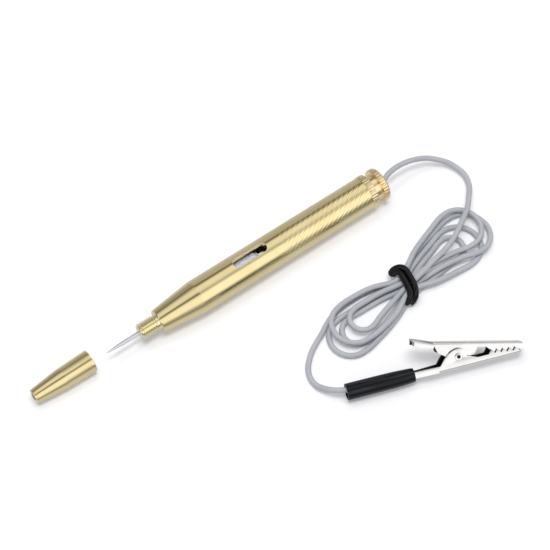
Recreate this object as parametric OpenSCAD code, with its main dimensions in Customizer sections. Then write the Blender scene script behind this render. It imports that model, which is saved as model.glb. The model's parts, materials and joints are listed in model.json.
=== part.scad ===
// Pen-type circuit tester: a turned brass barrel with a lamp behind a window slot,
// a steel probe needle with its tip cap lying in front, a fluted tail cap, and a lead
// in a tied hank that ends in a spring clip.
// Units are mm. The pen lies along X with the needle towards -X, the window up (+Z) and Z = 0 on
// the surface. The origin is below the middle of the pen and its tip cap.

/* [Barrel] */
// Outside diameter of the barrel
barrel_d = 12.3; // [11:0.1:13]
// Length from the shoulder to the seam of the tail cap
barrel_len = 88.5; // [84:0.5:110]
// Wall thickness round the lamp
barrel_wall = 1.3; // [0.8:0.1:1.5]
// Length of the tapered nose
nose_len = 16; // [12:0.5:22]
// Diameter of the shoulder in front of the taper
nose_d = 8.5; // [7.6:0.1:9.5]
// Start of the window slot, measured from the shoulder
window_start = 31.9; // [31:0.1:36]
// Length of the window slot
window_len = 14; // [8:0.5:16]
// Width of the window slot
window_w = 3.6; // [2.4:0.1:5]

/* [Tip] */
// Major diameter of the threaded tip
stub_d = 6; // [5:0.1:6.6]
// Length of the tip, with its plain part
stub_len = 7.5; // [7:0.1:11]
// Length of the plain part behind the thread
relief_len = 1; // [0.8:0.1:3]
// Diameter of the probe needle
probe_d = 1.2; // [0.8:0.1:1.6]
// Diameter of the needle's shank, pressed into the tip
shank_d = 2; // [1.6:0.1:2.4]
// Length of needle that stands out of the tip
probe_len = 13.7; // [9:0.1:13.8]
// Length of the needle's tapered point
point_len = 6.5; // [3:0.5:8]

/* [Tip cap] */
// Length of the tip cap
cap_len = 23.1; // [23:0.1:28]
// Diameter at the open end
cap_d = 8.2; // [7.8:0.1:9]
// Diameter where the taper gets steeper
cap_mid_d = 7.6; // [6.4:0.1:7.7]
// Diameter at the closed end
cap_end_d = 5.4; // [4.6:0.1:6]
// Length of the steeper taper
cap_taper_len = 11; // [8:0.5:14]
// Diameter of the hole in the closed end
cap_hole_d = 2.6; // [1.8:0.1:2.8]
// Gap between the needle and the cap as it lies
cap_gap = 5.1; // [2:0.1:15]
// Sideways place of the cap as it lies
cap_aside = 1.8; // [0:0.1:2]

/* [Tail cap] */
// Diameter of the fluted rings
ring_d = 12.6; // [12.6:0.1:13.6]
// Width of each fluted ring
ring_w = 2.6; // [1.6:0.1:3]
// Diameter of the neck between the rings
neck_d = 9.7; // [8:0.1:10]
// Length of the neck
neck_len = 2.6; // [1.2:0.1:4]
// Number of flutes round a ring
flutes = 36; // [24:1:48]
// Radius of the cutter for the flutes
flute_r = 0.35; // [0.2:0.05:0.4]
// Length of the spigot inside the barrel
spigot_len = 5; // [4:0.5:8]

/* [Lamp and contacts] */
// Diameter of the lamp's glass
glass_d = 6.8; // [5.6:0.1:7]
// Wall thickness of the glass
glass_wall = 0.5; // [0.3:0.1:0.7]
// Length of glass between the lamp's metal caps
glass_len = 15.6; // [13:0.1:16]
// Diameter of the lamp's metal caps
lamp_cap_d = 5.6; // [5:0.1:6.2]
// Length of each metal cap
lamp_cap_len = 5; // [3.5:0.5:6]
// Wall thickness of the insulating liner
liner_wall = 0.8; // [0.5:0.1:1]
// Wire diameter of the contact spring
spring_wire = 0.6; // [0.4:0.1:0.8]
// Mean diameter of the contact spring
spring_d = 4.8; // [3.5:0.1:5]
// Turns of the contact spring
spring_turns = 9; // [6:1:12]
// Length of the contact plug
plug_len = 8; // [5:0.5:10]

/* [Lead] */
// Diameter of the lead
cord_d = 2; // [1.6:0.1:2.2]
// Diameter of its bare conductor
wire_d = 1; // [0.6:0.1:1.2]
// Height of the hank
hank_h = 4.6; // [4:0.1:8]
// Width of the tie, along the hank
tie_w = 4; // [2:0.5:8]
// Thickness of the tie
tie_t = 1.4; // [0.8:0.1:2]
// Length of the sleeve on the clip
sleeve_len = 24; // [20:0.5:30]
// Outside diameter of the sleeve
sleeve_d = 5.8; // [5.8:0.1:6.6]
// Wall thickness of the sleeve
sleeve_wall = 0.6; // [0.4:0.1:0.8]

/* [Clip] */
// Length of the clip from the tang's end to the nose
clip_len = 50; // [44:1:56]
// Width over the side plates
clip_w = 7; // [6.6:0.1:8]
// Thickness of the sheet metal
sheet_t = 0.6; // [0.4:0.05:0.7]
// Diameter of the pivot eyelet
eyelet_d = 2; // [1.8:0.1:2.4]
// Diameter of the hole through the eyelet
eyelet_hole_d = 1.3; // [0.8:0.1:1.4]
// Wire diameter of the clip's spring
clip_wire = 0.7; // [0.5:0.05:0.8]
// Number of teeth on each jaw
teeth = 5; // [3:1:7]
// Roll of the clip as it lies
clip_roll = 34; // [25:1:40]

/* [Hidden] */
$fn = 48;

running_gap = 0.05;
slip_gap = 0.1;
edge = 0.3;
relief_depth = 0.25;
over = 0.5;

// Pen: distances along its axis are counted from the shoulder towards the tail
tail_len = 2 * ring_w + neck_len;
pen_end = barrel_len + tail_len;
axis_z = max(ring_d, barrel_d) / 2;
cap_r = cap_d / 2;
cap_tilt = atan((cap_r - cap_mid_d / 2) / (cap_len - cap_taper_len));
cap_x_len = cap_len * cos(cap_tilt) + cap_end_d / 2 * sin(cap_tilt);
overall = cap_x_len + cap_gap + probe_len + stub_len + pen_end;
shoulder_x = overall / 2 - pen_end;
cap_mouth_x = shoulder_x - stub_len - probe_len - cap_gap;
bore_r = barrel_d / 2 - barrel_wall;
lamp_x = window_start - 5;
lamp_end = lamp_x + glass_len;
lamp_seat = lamp_x - lamp_cap_len;
bore_start = lamp_x - 2;
needle_end = lamp_seat - 6;
pocket_r = lamp_cap_d / 2 + slip_gap;
rear_cap_end = lamp_end + lamp_cap_len;
liner_start = window_start + window_len + 1.2;
liner_end = barrel_len - spigot_len - slip_gap;
liner_r = bore_r - running_gap;
liner_bore_r = liner_r - liner_wall;
plug_r = liner_bore_r - running_gap;
plug_start = liner_end - 1 - plug_len;
bush_r = cord_d / 2 + 1.1;
bush_flange_r = bush_r + 0.7;
cap_thread_r = stub_d / 2 - 0.45;
cap_bore_r = max(probe_d / 2 + 0.8, cap_hole_d / 2 + 0.2);
glass_neck_r = lamp_cap_d / 2 - 0.4;

// Clip: counted from the pivot, x towards the nose along the lower jaw, y towards the upper jaw
k = clip_len / 50;
half_w = clip_w / 2;
spine_y = 3.95 * k;
tang_y = 1.75 * k;
tang_half_w = 2 * k;
upper_half_w = half_w - sheet_t - running_gap;
wedge = 13.4;
upper_spine_y = 4.85 * k;
bend_r = sheet_t + 0.3;
clip_yaw = -20;
clip_pivot = [51.95, -69.66, spine_y * sin(clip_roll) + half_w * cos(clip_roll)];
tooth_from = [11.5 * k, -0.5 * k];
tooth_to = [21.45 * k, -1.75 * k];
tooth_pitch = (tooth_to - tooth_from) / (teeth - 0.3);
tooth_depth = [0.2 * k, -1.3 * k];
coil_r = eyelet_d / 2 + clip_wire / 2 + 0.35;
coil_turns = 3.5;
coil_len = coil_turns * (clip_wire + 0.04);
sleeve_front = -15.7 * k;
sleeve_axis_y = -(spine_y + tang_y) / 2;

// Lead: the points of its middle line as it lies
from_pen_path = [
    [shoulder_x + barrel_len - spigot_len + 1, 0, axis_z],
    [shoulder_x + pen_end, 0, axis_z],
    [shoulder_x + pen_end + 3.2, 0.5, axis_z + 0.2],
    [shoulder_x + pen_end + 7, 1.5, axis_z - 0.1],
    [shoulder_x + pen_end + 11.8, 2.3, axis_z - 1],
    [shoulder_x + pen_end + 16.6, 1.9, 4.1],
    [93.85, 0.44, 3],
    [97.25, -1.96, 2.1],
    [99.95, -4.96, 1.5],
    [101.65, -8.86, 1.1],
    [101.85, -12.86, 1.2],
    [100.15, -16.96, 1.8],
    [96.25, -21.56, 2.9],
    [91.45, -26.16, 4.5]
];
to_clip_path = [
    [24.75, -32.56, 1],
    [21.25, -34.56, 1],
    [17.85, -36.16, 1],
    [14.55, -37.96, 1],
    [11.45, -40.36, 1],
    [9.05, -43.16, 1],
    [7.85, -46.16, 1.05],
    [7.75, -49.16, 1.4],
    [8.75, -51.96, 2.2],
    [10.75, -54.86, 3.1],
    [13.65, -57.36, 3.8],
    [18.05, -59.56, 3.7],
    [22.25, -61.36, 3.52]
];
hank_far = [84.55, -32.16];
hank_near = [30.45, -39.16];
hank_far_r = 10.9;
hank_near_r = 10.5;
waist_at = [55.25, -36.76];
waist_half = 5.5;
hank_turn = atan2(hank_far[1] - hank_near[1], hank_far[0] - hank_near[0]);

// Ring of points round a path point, square to the path there
function heading(path, i) =
    let (a = path[max(i - 1, 0)], b = path[min(i + 1, len(path) - 1)], v = b - a) v / norm(v);
function sideways(t) = let (s = cross(t, [0, 0, 1])) s / norm(s);
function ring(path, i, r, sides) =
    let (t = heading(path, i), s = sideways(t), u = cross(s, t))
    [for (j = [0 : sides - 1]) let (a = 360 * j / sides) path[i] + r * (cos(a) * s + sin(a) * u)];
function tube_points(path, r, sides) = [for (i = [0 : len(path) - 1]) each ring(path, i, r, sides)];
function tube_sides(count, sides) = [
    for (i = [0 : count - 2], j = [0 : sides - 1])
        let (a = i * sides + j, b = i * sides + (j + 1) % sides) [a, a + sides, b + sides, b]
];
function tube_ends(count, sides) = [
    [for (j = [0 : sides - 1]) j],
    [for (j = [sides - 1 : -1 : 0]) (count - 1) * sides + j]
];
function between(p, q, f) = p * (1 - f) + q * f;

// Smooth path through the points, with extra points in each gap
function blend(p0, p1, p2, p3, f) =
    0.5 * (2 * p1 + (p2 - p0) * f + (2 * p0 - 5 * p1 + 4 * p2 - p3) * f * f
    + (3 * p1 - p0 - 3 * p2 + p3) * f * f * f);
function smooth(path, parts) =
    let (n = len(path) - 1)
    [
        for (i = [0 : n - 1], j = [0 : parts - 1])
            blend(path[max(i - 1, 0)], path[i], path[i + 1], path[min(i + 2, n)], j / parts),
        path[n]
    ];

// Coil along Z whose first and last turns lie closed
function coil(r, length, turns, steps) = [
    for (i = [0 : turns * steps])
        let (f = i / (turns * steps)) [r * cos(360 * i / steps), r * sin(360 * i / steps), length * f]
];

module tube(path, r, sides) {
    faces = concat(tube_sides(len(path), sides), tube_ends(len(path), sides));
    polyhedron(tube_points(path, r, sides), faces, 4);
}

module on_pen() {
    translate([shoulder_x, 0, axis_z]) rotate([0, 90, 0]) children();
}

module on_clip() {
    translate(clip_pivot) rotate([0, 0, clip_yaw]) rotate([clip_roll, 0, 0]) children();
}

// Turned shape from [distance, radius] pairs
module turned(profile) {
    rotate_extrude() polygon([for (p = profile) [p[1], p[0]]]);
}

module barrel() {
    color([0.86, 0.74, 0.42]) on_pen() difference() {
        turned([
            [-stub_len, 0], [-stub_len, stub_d / 2 - edge], [-stub_len + edge, stub_d / 2],
            [-relief_len, stub_d / 2], [-relief_len, stub_d / 2 - relief_depth],
            [0, stub_d / 2 - relief_depth], [0, nose_d / 2 - 0.15], [0.15, nose_d / 2],
            [nose_len, barrel_d / 2], [barrel_len, barrel_d / 2], [barrel_len, 0]
        ]);
        translate([0, 0, bore_start]) cylinder(h = barrel_len - bore_start + over, r = bore_r);
        translate([0, 0, lamp_seat]) cylinder(h = bore_start - lamp_seat + over, r = pocket_r);
        translate([0, 0, -stub_len - over]) cylinder(h = stub_len + over + needle_end, r = shank_d / 2);
        window_slot();
    }
}

// The slot runs through the top of the barrel only
module window_slot() {
    slot_r = window_w / 2;
    a = window_start + slot_r;
    b = window_start + window_len - slot_r;
    for (s = [a, b]) translate([0, 0, s]) rotate([0, -90, 0]) cylinder(h = barrel_d, r = slot_r);
    translate([-barrel_d, -slot_r, a]) cube([barrel_d, window_w, b - a]);
}

module probe_needle() {
    r = probe_d / 2;
    tip = -stub_len - probe_len;
    color([0.8, 0.8, 0.82]) on_pen() turned([
        [tip, 0], [tip + 0.1, 0.08], [tip + point_len * 0.5, r * 0.62], [tip + point_len, r],
        [-stub_len, r], [-stub_len, shank_d / 2], [needle_end, shank_d / 2], [needle_end, 0]
    ]);
}

module tip_cap() {
    mouth_z = cap_r * cos(cap_tilt);
    color([0.86, 0.74, 0.42]) translate([cap_mouth_x, cap_aside, mouth_z])
        rotate([0, 90 - cap_tilt, 0]) translate([0, 0, -cap_len]) difference() {
            turned([
                [0, 0], [0, cap_end_d / 2 - edge], [edge, cap_end_d / 2],
                [cap_taper_len, cap_mid_d / 2], [cap_len, cap_r], [cap_len, 0]
            ]);
            translate([0, 0, -over]) cylinder(h = cap_len, r = cap_hole_d / 2);
            translate([0, 0, 1.5]) cylinder(h = cap_len, r = cap_bore_r);
            translate([0, 0, cap_len - stub_len]) cylinder(h = stub_len + over, r = cap_thread_r);
        }
}

// Two fluted rings with a neck between, and a spigot that goes into the barrel
module tail_cap() {
    ring_r = ring_d / 2;
    front = barrel_len;
    neck = front + ring_w;
    rear = neck + neck_len;
    flange_seat = barrel_len - spigot_len + 1;
    color([0.87, 0.68, 0.36]) on_pen() difference() {
        turned([
            [front - spigot_len, 0], [front - spigot_len, bore_r - edge],
            [front - spigot_len + edge, bore_r], [front, bore_r],
            [front, ring_r - 0.25], [front + 0.25, ring_r], [neck - 0.25, ring_r],
            [neck, ring_r - 0.25], [neck, neck_d / 2], [rear, neck_d / 2], [rear, ring_r - 0.25],
            [rear + 0.25, ring_r], [pen_end - 0.8, ring_r], [pen_end - 0.35, ring_r - 0.25],
            [pen_end, ring_r - 0.9], [pen_end, 0]
        ]);
        translate([0, 0, front - spigot_len - over]) cylinder(h = pen_end, r = bush_r);
        translate([0, 0, front - spigot_len - over]) cylinder(h = 1 + over, r = bush_flange_r);
        for (i = [0 : flutes - 1], s = [front, rear])
            rotate([0, 0, i * 360 / flutes]) translate([ring_r + flute_r * 0.45, 0, s - 0.1])
                cylinder(h = ring_w + 0.2, r = flute_r, $fn = 16);
    }
}

module tail_bush() {
    color([0.12, 0.12, 0.13]) on_pen() difference() {
        turned([
            [barrel_len - spigot_len, 0], [barrel_len - spigot_len, bush_flange_r],
            [barrel_len - spigot_len + 1, bush_flange_r], [barrel_len - spigot_len + 1, bush_r],
            [pen_end, bush_r], [pen_end, 0]
        ]);
        translate([0, 0, barrel_len - spigot_len - over])
            cylinder(h = spigot_len + pen_end, r = cord_d / 2);
    }
}

module insulating_liner() {
    color([0.93, 0.92, 0.88]) on_pen() translate([0, 0, liner_start]) difference() {
        cylinder(h = liner_end - liner_start, r = liner_r);
        translate([0, 0, -over]) cylinder(h = liner_end, r = liner_bore_r);
    }
}

// The cup closes on the glass neck
module lamp_cap() {
    difference() {
        turned([
            [0, 0], [0, lamp_cap_d / 2 - edge], [edge, lamp_cap_d / 2], [lamp_cap_len, lamp_cap_d / 2],
            [lamp_cap_len, 0]
        ]);
        translate([0, 0, 1.5]) cylinder(h = lamp_cap_len, r = glass_neck_r);
    }
}

module lamp_front_cap() {
    color([0.78, 0.77, 0.74]) on_pen() translate([0, 0, lamp_seat]) lamp_cap();
}

module lamp_rear_cap() {
    color([0.78, 0.77, 0.74]) on_pen() translate([0, 0, rear_cap_end]) rotate([180, 0, 0]) lamp_cap();
}

// Glass tube with closed, narrower ends that sit in the metal caps
module lamp_glass() {
    r = glass_d / 2;
    neck = lamp_cap_len - 1.5;
    taper = 1.6;
    g = glass_wall;
    color([0.85, 0.9, 0.93, 0.4]) on_pen() translate([0, 0, lamp_x]) turned([
        [-neck, 0], [-neck, glass_neck_r], [0, glass_neck_r], [taper, r], [glass_len - taper, r],
        [glass_len, glass_neck_r], [glass_len + neck, glass_neck_r], [glass_len + neck, 0],
        [glass_len + neck - g, 0], [glass_len + neck - g, glass_neck_r - g], [glass_len, glass_neck_r - g],
        [glass_len - taper, r - g], [taper, r - g], [0, glass_neck_r - g], [g - neck, glass_neck_r - g],
        [g - neck, 0]
    ]);
}

// Fine coil on straight supports, from one metal cap to the other
module lamp_filament() {
    room = lamp_cap_len - 1.5 - glass_wall;
    half = (glass_len + 2 * room) / 2;
    color([0.45, 0.45, 0.47]) on_pen() translate([0, 0, lamp_x + glass_len / 2]) turned([
        [-half, 0], [-half, 0.15], [-4, 0.15], [-4, 0.3], [4, 0.3], [4, 0.15], [half, 0.15], [half, 0]
    ]);
}

module contact_spring() {
    r = spring_wire / 2;
    color([0.75, 0.76, 0.78]) on_pen() translate([0, 0, rear_cap_end + r])
        tube(coil(spring_d / 2, plug_start - rear_cap_end - spring_wire, spring_turns, 12), r, 6);
}

module contact_plug() {
    color([0.85, 0.72, 0.4]) on_pen() translate([0, 0, plug_start]) difference() {
        turned([
            [0, 0], [0, plug_r - edge], [edge, plug_r], [plug_len - edge, plug_r],
            [plug_len, plug_r - edge], [plug_len, 0]
        ]);
        translate([0, 0, 3]) cylinder(h = plug_len, r = wire_d / 2);
    }
}

module plug_conductor() {
    start = plug_start + 3;
    color([0.8, 0.47, 0.3]) on_pen() translate([0, 0, start])
        cylinder(h = barrel_len - spigot_len + 1 - start, r = wire_d / 2);
}

module lead_from_pen() {
    color([0.62, 0.64, 0.68]) tube(smooth(from_pen_path, 2), cord_d / 2, 8);
}

// The tied turns of the lead as one body
module lead_hank() {
    color([0.62, 0.64, 0.68]) difference() {
        union() {
            translate(hank_far) cylinder(h = hank_h, r = hank_far_r);
            translate(hank_near) cylinder(h = hank_h, r = hank_near_r);
            linear_extrude(hank_h) polygon(concat(hank_side(1), hank_side(-1)));
        }
        tie_band(waist_half, hank_h, 0.02);
    }
}

// One long side of the hank, drawn in to the waist
function hank_side(s) =
    let (
        along = (hank_far - hank_near) / norm(hank_far - hank_near),
        aside = [-along[1], along[0]] * s,
        near = hank_near + along * 3 + aside * (hank_near_r - 0.5),
        far = hank_far - along * 3 + aside * (hank_far_r - 0.5),
        w = waist_at + aside * (waist_half + 0.6),
        pts = [near, w - along * 4, w + along * 4, far]
    )
    s > 0 ? pts : [pts[3], pts[2], pts[1], pts[0]];

// Band round the waist, from the half width and the height that it goes round
module tie_band(half, height, grow) {
    translate([waist_at[0], waist_at[1], 0]) rotate([0, 0, hank_turn])
        translate([-tie_w / 2 - grow, 0, 0]) rotate([90, 0, 90]) linear_extrude(tie_w + 2 * grow)
            difference() {
                translate([-half - tie_t, 0]) square([2 * (half + tie_t), height + tie_t]);
                translate([-half, tie_t / 2]) square([2 * half, height - tie_t / 2]);
            }
}

module hank_tie() {
    color([0.06, 0.06, 0.07]) tie_band(waist_half, hank_h, 0);
}

module lead_to_clip() {
    color([0.62, 0.64, 0.68]) tube(smooth(to_clip_path, 2), cord_d / 2, 8);
}

module clip_sleeve() {
    r = sleeve_d / 2;
    color([0.08, 0.09, 0.11]) on_clip() translate([sleeve_front - sleeve_len, sleeve_axis_y, 0])
        rotate([0, 90, 0]) difference() {
            cylinder(h = sleeve_len, r = r);
            translate([0, 0, -over]) cylinder(h = sleeve_len + 2 * over, r = r - sleeve_wall);
        }
}

// Bare conductor with its solder on the tang
module clip_conductor() {
    color([0.75, 0.76, 0.78]) on_clip() translate([-32 * k, -spine_y + sheet_t + wire_d / 2, 0])
        rotate([0, 90, 0]) cylinder(h = 9 * k, r = wire_d / 2);
}

function zigzag(i) = tooth_from + tooth_pitch * i;
function tooth_line() = [
    for (i = [0 : teeth - 1]) each [zigzag(i), zigzag(i) + tooth_pitch / 2 + tooth_depth]
];
function backwards(list) = [for (i = [len(list) - 1 : -1 : 0]) list[i]];

// Folded sheet: two side plates of one outline, joined by the spine on its far side
module folded(outline, half, turn, spine, room) {
    difference() {
        translate([0, 0, -half]) linear_extrude(2 * half) polygon(outline);
        rotate([0, 0, turn]) translate([-clip_len, spine - room, -half + sheet_t])
            cube([2 * clip_len, room, 2 * (half - sheet_t)]);
    }
}

module lower_jaw() {
    room = 12 * k;
    front = concat(backwards(tooth_line()), [[10.4 * k, -1.8 * k], [6.55 * k, -1.8 * k]]);
    ear = [for (a = [-8 : 14 : 104]) 2.8 * k * [cos(a), sin(a)]];
    outline = concat(
        [[-7.6 * k, -spine_y], [21.5 * k, -spine_y], [21.7 * k, -3.05 * k]], front, ear,
        [[-2 * k, 2.35 * k], [-3.4 * k, 1.6 * k], [-4.9 * k, 0.4 * k]],
        [[-6.8 * k, -tang_y], [-7.6 * k, -tang_y]]
    );
    color([0.85, 0.86, 0.88]) on_clip() difference() {
        union() {
            intersection() {
                folded(outline, half_w, 0, room - spine_y + sheet_t, room);
                translate([0, -spine_y, 0]) bent_section(half_w, 1, -7.6 * k);
            }
            tang();
        }
        translate([0, 0, -clip_w]) cylinder(h = 2 * clip_w, r = eyelet_d / 2);
    }
}

// Section that rounds the two bends beside a spine; side is 1 for a spine below the plates and -1 for
// one above them
module bent_section(half, side, from) {
    r = bend_r;
    length = 2 * clip_len;
    deep = 20 * k;
    translate([from, 0, 0]) mirror([0, side < 0 ? 1 : 0, 0]) {
        translate([0, r, -half]) cube([length, deep, 2 * half]);
        translate([0, 0, r - half]) cube([length, deep, 2 * (half - r)]);
        for (z = [r - half, half - r])
            translate([0, r, z]) rotate([0, 90, 0]) cylinder(h = length, r = r);
    }
}

// Trough that narrows towards the sleeve
module tang() {
    a = -7.6 * k;
    b = -14.6 * k;
    c = -28 * k;
    t = sheet_t;
    w = half_w;
    n = tang_half_w;
    translate([0, -tang_y, 0]) rotate([90, 0, 0]) difference() {
        linear_extrude(spine_y - tang_y)
            polygon([[a, w], [b, n], [c, n], [c, -n], [b, -n], [a, -w]]);
        translate([0, 0, -over]) linear_extrude(spine_y - tang_y + over - t)
            polygon([
                [a + over, w - t], [a, w - t], [b, n - t], [c - over, n - t],
                [c - over, t - n], [b, t - n], [a, t - w], [a + over, t - w]
            ]);
    }
}

module upper_jaw() {
    room = 12 * k;
    turn = -wedge;
    outline = concat(
        [upper_point(22.3, 4.85), upper_point(-8.7, 4.85), upper_point(-8.7, 4.3), upper_point(-7, 1.2)],
        [for (a = [190 : 20 : 330]) 2.4 * k * [cos(a), sin(a)]],
        [[5.8 * k, -0.4 * k], [7.35 * k, 1.65 * k], [10.3 * k, 0.8 * k]], tooth_line(),
        [upper_point(22.6, 2.1), upper_point(22.7, 4.4)]
    );
    color([0.85, 0.86, 0.88]) on_clip() difference() {
        union() {
            intersection() {
                folded(outline, upper_half_w, turn, upper_spine_y - sheet_t, room);
                rotate([0, 0, turn]) translate([0, upper_spine_y, 0])
                    bent_section(upper_half_w, -1, -10 * k);
            }
            rotate([0, 0, turn]) finger_tab();
        }
        translate([0, 0, -clip_w]) cylinder(h = 2 * clip_w, r = eyelet_d / 2 + running_gap);
    }
}

// Point given along and above the upper jaw's own spine
function upper_point(u, v) = k * [u * cos(wedge) + v * sin(wedge), -u * sin(wedge) + v * cos(wedge)];

// Trough-shaped pad that the finger presses
module finger_tab() {
    length = 8 * k;
    depth = 2.2 * k;
    w = upper_half_w - 0.1;
    c = 1.1 * k;
    t = sheet_t;
    b = t * tan(22.5);
    translate([-8.2 * k, upper_spine_y - 0.05, 0]) rotate([0, 0, -8]) translate([-length, 0, 0])
        intersection() {
            rotate([0, 90, 0]) linear_extrude(length) polygon([
                [-w, -depth], [-w, -c], [c - w, 0], [w - c, 0], [w, -c], [w, -depth], [w - t, -depth],
                [w - t, -c - b], [w - c - b, -t], [c + b - w, -t], [t - w, -c - b], [t - w, -depth]
            ]);
            translate([0, over, 0]) rotate([90, 0, 0]) linear_extrude(depth + 2 * over) polygon([
                [0, w - 1.6 * k], [0.5 * k, w - 0.7 * k], [1.6 * k, w + over],
                [length + over, w + over], [length + over, -w - over], [1.6 * k, -w - over],
                [0.5 * k, 0.7 * k - w], [0, 1.6 * k - w]
            ]);
        }
}

// Hollow rivet with a collar rolled over each side plate
module pivot_eyelet() {
    r = eyelet_d / 2;
    collar = 0.3;
    color([0.8, 0.81, 0.83]) on_clip() translate([0, 0, -half_w - collar]) difference() {
        turned([
            [0, 0], [0, r + 0.2], [0.12, r + 0.35], [collar, r + 0.35], [collar, r],
            [collar + clip_w, r], [collar + clip_w, r + 0.35], [2 * collar + clip_w - 0.12, r + 0.35],
            [2 * collar + clip_w, r + 0.2], [2 * collar + clip_w, 0]
        ]);
        translate([0, 0, -over]) cylinder(h = clip_w + 2 * (collar + over), r = eyelet_hole_d / 2);
    }
}

// Torsion spring round the eyelet, with a leg against each jaw
module clip_spring() {
    w = clip_wire / 2;
    low = -coil_len / 2;
    lower_leg = [-7 * k, -spine_y + sheet_t + w, low];
    upper_leg = concat(upper_point(-7, 4.85 - (sheet_t + w) / k), [-low]);
    turns = [for (p = coil(coil_r, coil_len, coil_turns, 12)) [p[1], -p[0], p[2] + low]];
    path = concat(
        [lower_leg, between(lower_leg, turns[0], 0.4)],
        turns,
        [between(turns[len(turns) - 1], upper_leg, 0.4), upper_leg]
    );
    color([0.7, 0.71, 0.73]) on_clip() tube(path, w, 6);
}

barrel();
probe_needle();
tip_cap();
tail_cap();
tail_bush();
insulating_liner();
lamp_front_cap();
lamp_glass();
lamp_filament();
lamp_rear_cap();
contact_spring();
contact_plug();
plug_conductor();
lead_from_pen();
lead_hank();
lead_to_clip();
hank_tie();
clip_sleeve();
clip_conductor();
lower_jaw();
upper_jaw();
pivot_eyelet();
clip_spring();
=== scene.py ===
import json
import math

import bmesh
import bpy
from mathutils import Matrix, Vector


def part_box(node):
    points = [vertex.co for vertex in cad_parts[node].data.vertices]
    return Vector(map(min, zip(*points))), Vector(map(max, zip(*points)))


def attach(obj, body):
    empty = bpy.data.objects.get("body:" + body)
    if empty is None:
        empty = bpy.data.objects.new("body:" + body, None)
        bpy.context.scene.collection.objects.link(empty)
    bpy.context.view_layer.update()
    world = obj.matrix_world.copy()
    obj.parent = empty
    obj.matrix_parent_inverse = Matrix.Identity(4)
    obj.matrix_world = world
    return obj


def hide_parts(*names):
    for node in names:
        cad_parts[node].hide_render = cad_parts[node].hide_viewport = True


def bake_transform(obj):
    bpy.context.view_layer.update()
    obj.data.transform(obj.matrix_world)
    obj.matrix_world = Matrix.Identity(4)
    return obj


bl_info = {
    "name": "Pen circuit tester",
    "version": (1, 0, 0),
    "blender": (4, 5, 0),
    "location": "View3D > Sidebar > Tester",
    "description": "Models a brass pen tester with its tied lead and spring clip",
    "category": "Add Mesh",
}

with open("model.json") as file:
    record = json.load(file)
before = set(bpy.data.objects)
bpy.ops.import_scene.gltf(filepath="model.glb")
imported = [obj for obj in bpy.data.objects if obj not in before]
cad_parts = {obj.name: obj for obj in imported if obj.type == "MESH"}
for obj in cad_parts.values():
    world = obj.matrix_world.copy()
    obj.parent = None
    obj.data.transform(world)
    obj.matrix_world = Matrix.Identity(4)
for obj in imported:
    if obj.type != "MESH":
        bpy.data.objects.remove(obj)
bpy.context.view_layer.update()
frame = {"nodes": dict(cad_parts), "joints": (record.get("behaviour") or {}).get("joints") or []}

MM = 0.001
PHOTO_SIDE = 550  # pixels, both ways

# Pen: places along its axis, in metres
AXIS_Z = sum(corner.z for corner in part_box("barrel")) / 2
STUB_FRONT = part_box("barrel")[0].x
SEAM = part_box("barrel")[1].x
BARREL_R, RING_R = ((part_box(n)[1].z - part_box(n)[0].z) / 2 for n in ("barrel", "tail_cap"))
WINDOW_START = 31.9 * MM  # behind the shoulder

TINY = 1e-7  # metres: what is nearer to the axis or to a plane lies on it
JOIN = 0.002 * MM  # vertices that lie closer are one
SLACK = 0.01 * MM  # for finding vertices by their place


def linear(code):
    """Turns an sRGB hex colour into the linear values that Blender works in."""
    values = [int(code[i:i + 2], 16) / 255 for i in (1, 3, 5)]
    return tuple(v / 12.92 if v <= 0.04045 else ((v + 0.055) / 1.055) ** 2.4 for v in values)


def length(name, description, millimetres):
    """A size that a user can change."""
    return bpy.props.FloatProperty(
        name=name, description=description, default=millimetres * MM, min=0,
        unit="LENGTH", subtype="DISTANCE", precision=5,
    )


def paint(name, description, code):
    """A colour that a user can change, from its sRGB hex code."""
    return bpy.props.FloatVectorProperty(
        name=name, description=description, default=linear(code), size=3, min=0, max=1,
        subtype="COLOR",
    )


class TesterSizes(bpy.types.PropertyGroup):
    """Sizes of the tester that the solids leave open"""

    stub_length: length("Thread bar", "Length of the tip in front of the shoulder", 7.5)
    relief_length: length("Relief", "Length of the plain part behind the thread", 1.0)
    thread_pitch: length("Thread pitch", "Pitch of the thread on the tip", 1.0)
    thread_depth: length("Thread depth", "Depth of the thread on the tip", 0.6)
    grip_length: length("Grip", "Length of the knurled part before the tail cap", 38)
    knurl_depth: length("Knurl depth", "Depth of the knurl's grooves", 0.032)
    knurl_count: bpy.props.IntProperty(
        name="Knurl grooves", description="Number of grooves round the grip", default=30,
        min=24, max=72,
    )
    knurl_angle: bpy.props.FloatProperty(
        name="Knurl angle", description="Angle of the grooves to the pen's axis",
        default=math.radians(30), subtype="ANGLE",
    )
    window_length: length("Window length", "Length of the window slot", 14)
    window_width: length("Window width", "Width of the window slot", 3.6)
    wall: length("Wall", "Wall thickness of the barrel", 1.3)
    rim: length("Rim rounding", "Radius of the window's rolled rim", 0.2)
    lead_diameter: length("Lead", "Diameter of the lead", 2)
    tie_diameter: length("Tie", "Diameter of the tie's strands", 2.3)


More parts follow.
